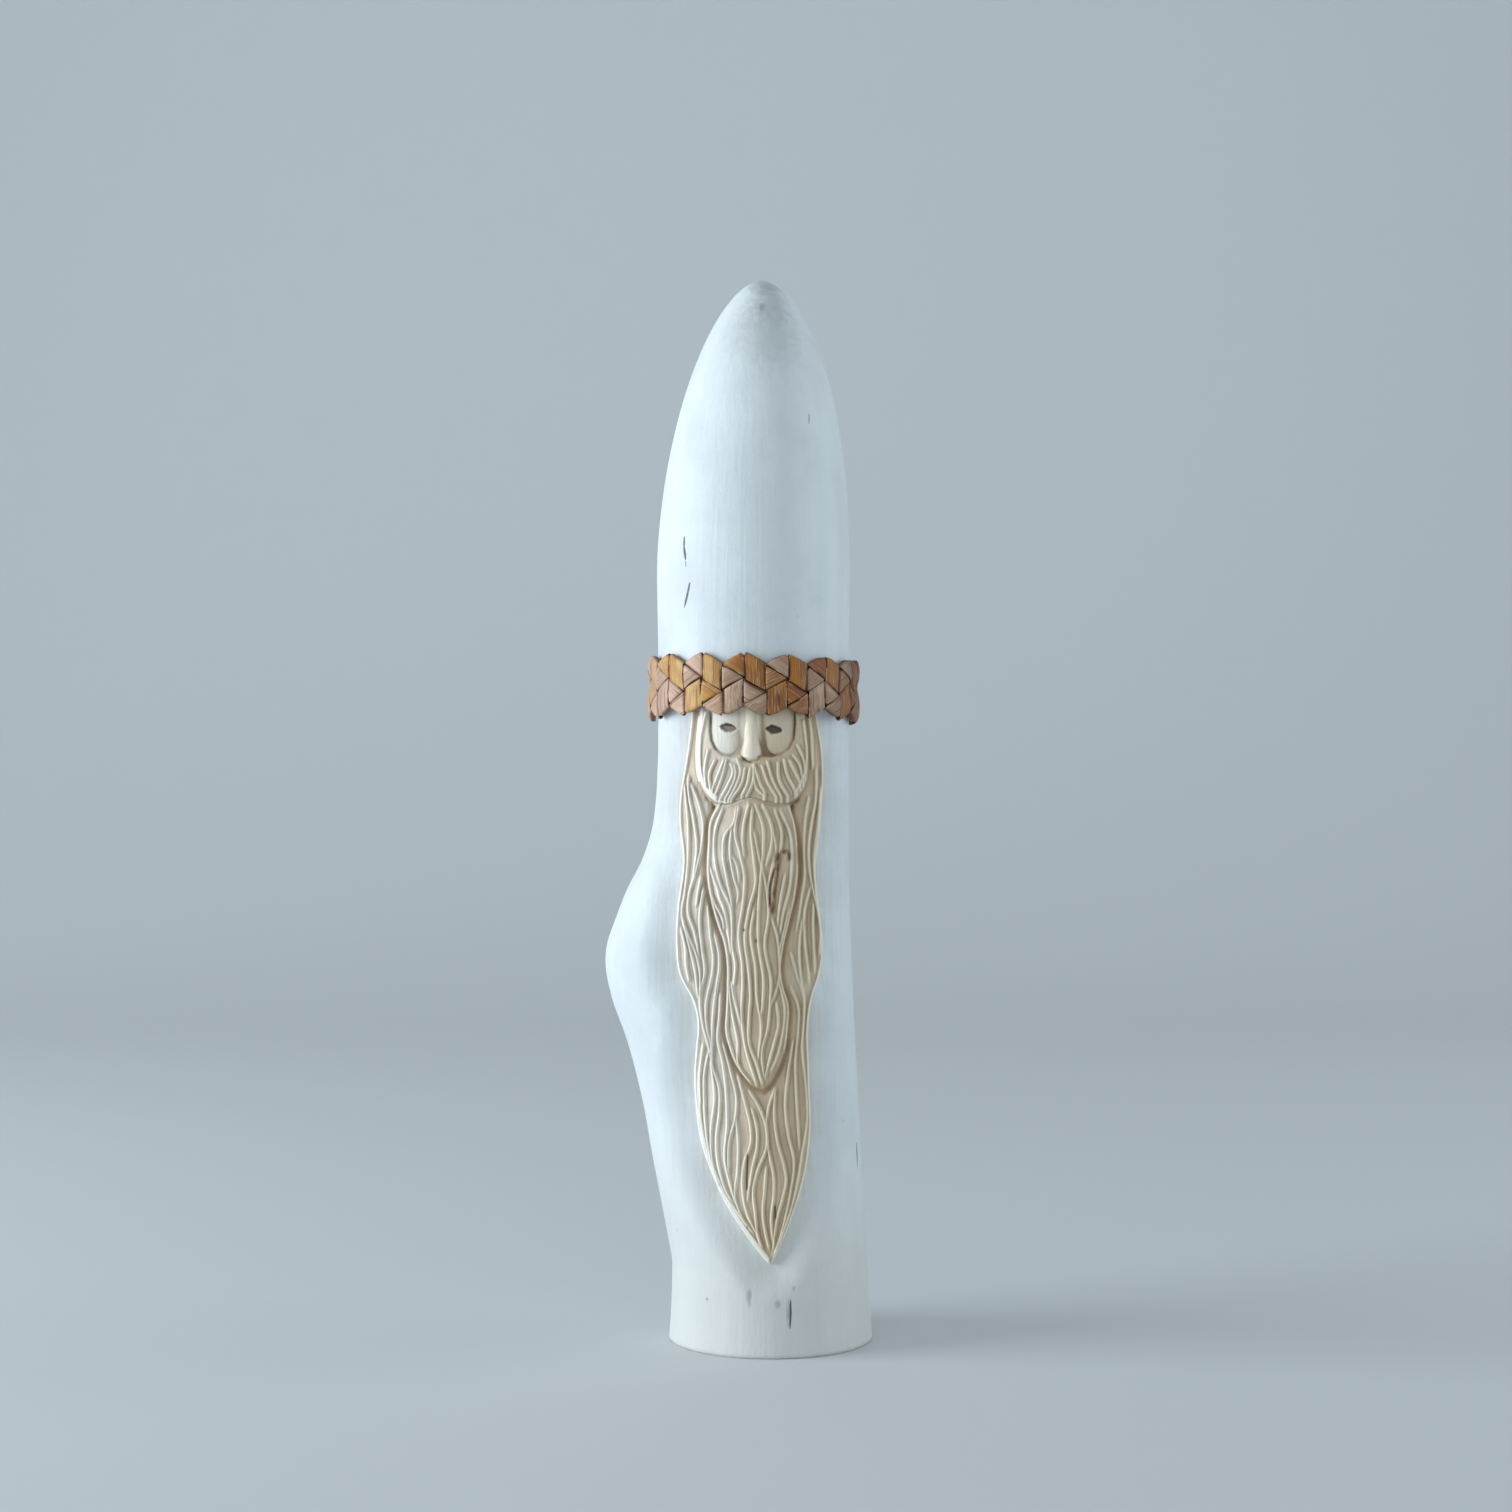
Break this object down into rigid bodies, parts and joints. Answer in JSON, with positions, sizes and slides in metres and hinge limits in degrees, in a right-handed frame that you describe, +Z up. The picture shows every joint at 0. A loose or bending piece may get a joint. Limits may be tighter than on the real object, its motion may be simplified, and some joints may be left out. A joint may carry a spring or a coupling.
{
  "type": "santa figure",
  "caption": "Tall santa figure carved from a branch, with a white pointed hat, a bare wood face and long beard in relief, and a plaited bark band round the brow.",
  "frame": {"origin": "centre of the flat sawn base", "axes": "+Z up along the branch to the tip of the hat; the carved face looks along -Y; +X is the viewer's right"},
  "size_m": [0.076, 0.0588, 0.3],
  "materials": {
    "painted_wood": "thin matte white paint over smooth wood, bare cream wood with a brown wash in the carved relief",
    "bark_gold": "outer face of birch bark, golden, satin, with short darker flecks",
    "bark_amber": "outer face of birch bark, gold to amber and red-brown, satin",
    "bark_pink": "inner face of birch bark, pink-grey, matte"
  },
  "bodies": {
    "root": {"carved_body": "painted_wood", "bark_strip_rising_1": "bark_gold", "bark_strip_rising_2": "bark_gold", "bark_strip_falling_1": "bark_pink", "bark_strip_falling_2": "bark_amber"}
  },
  "joints": []
}
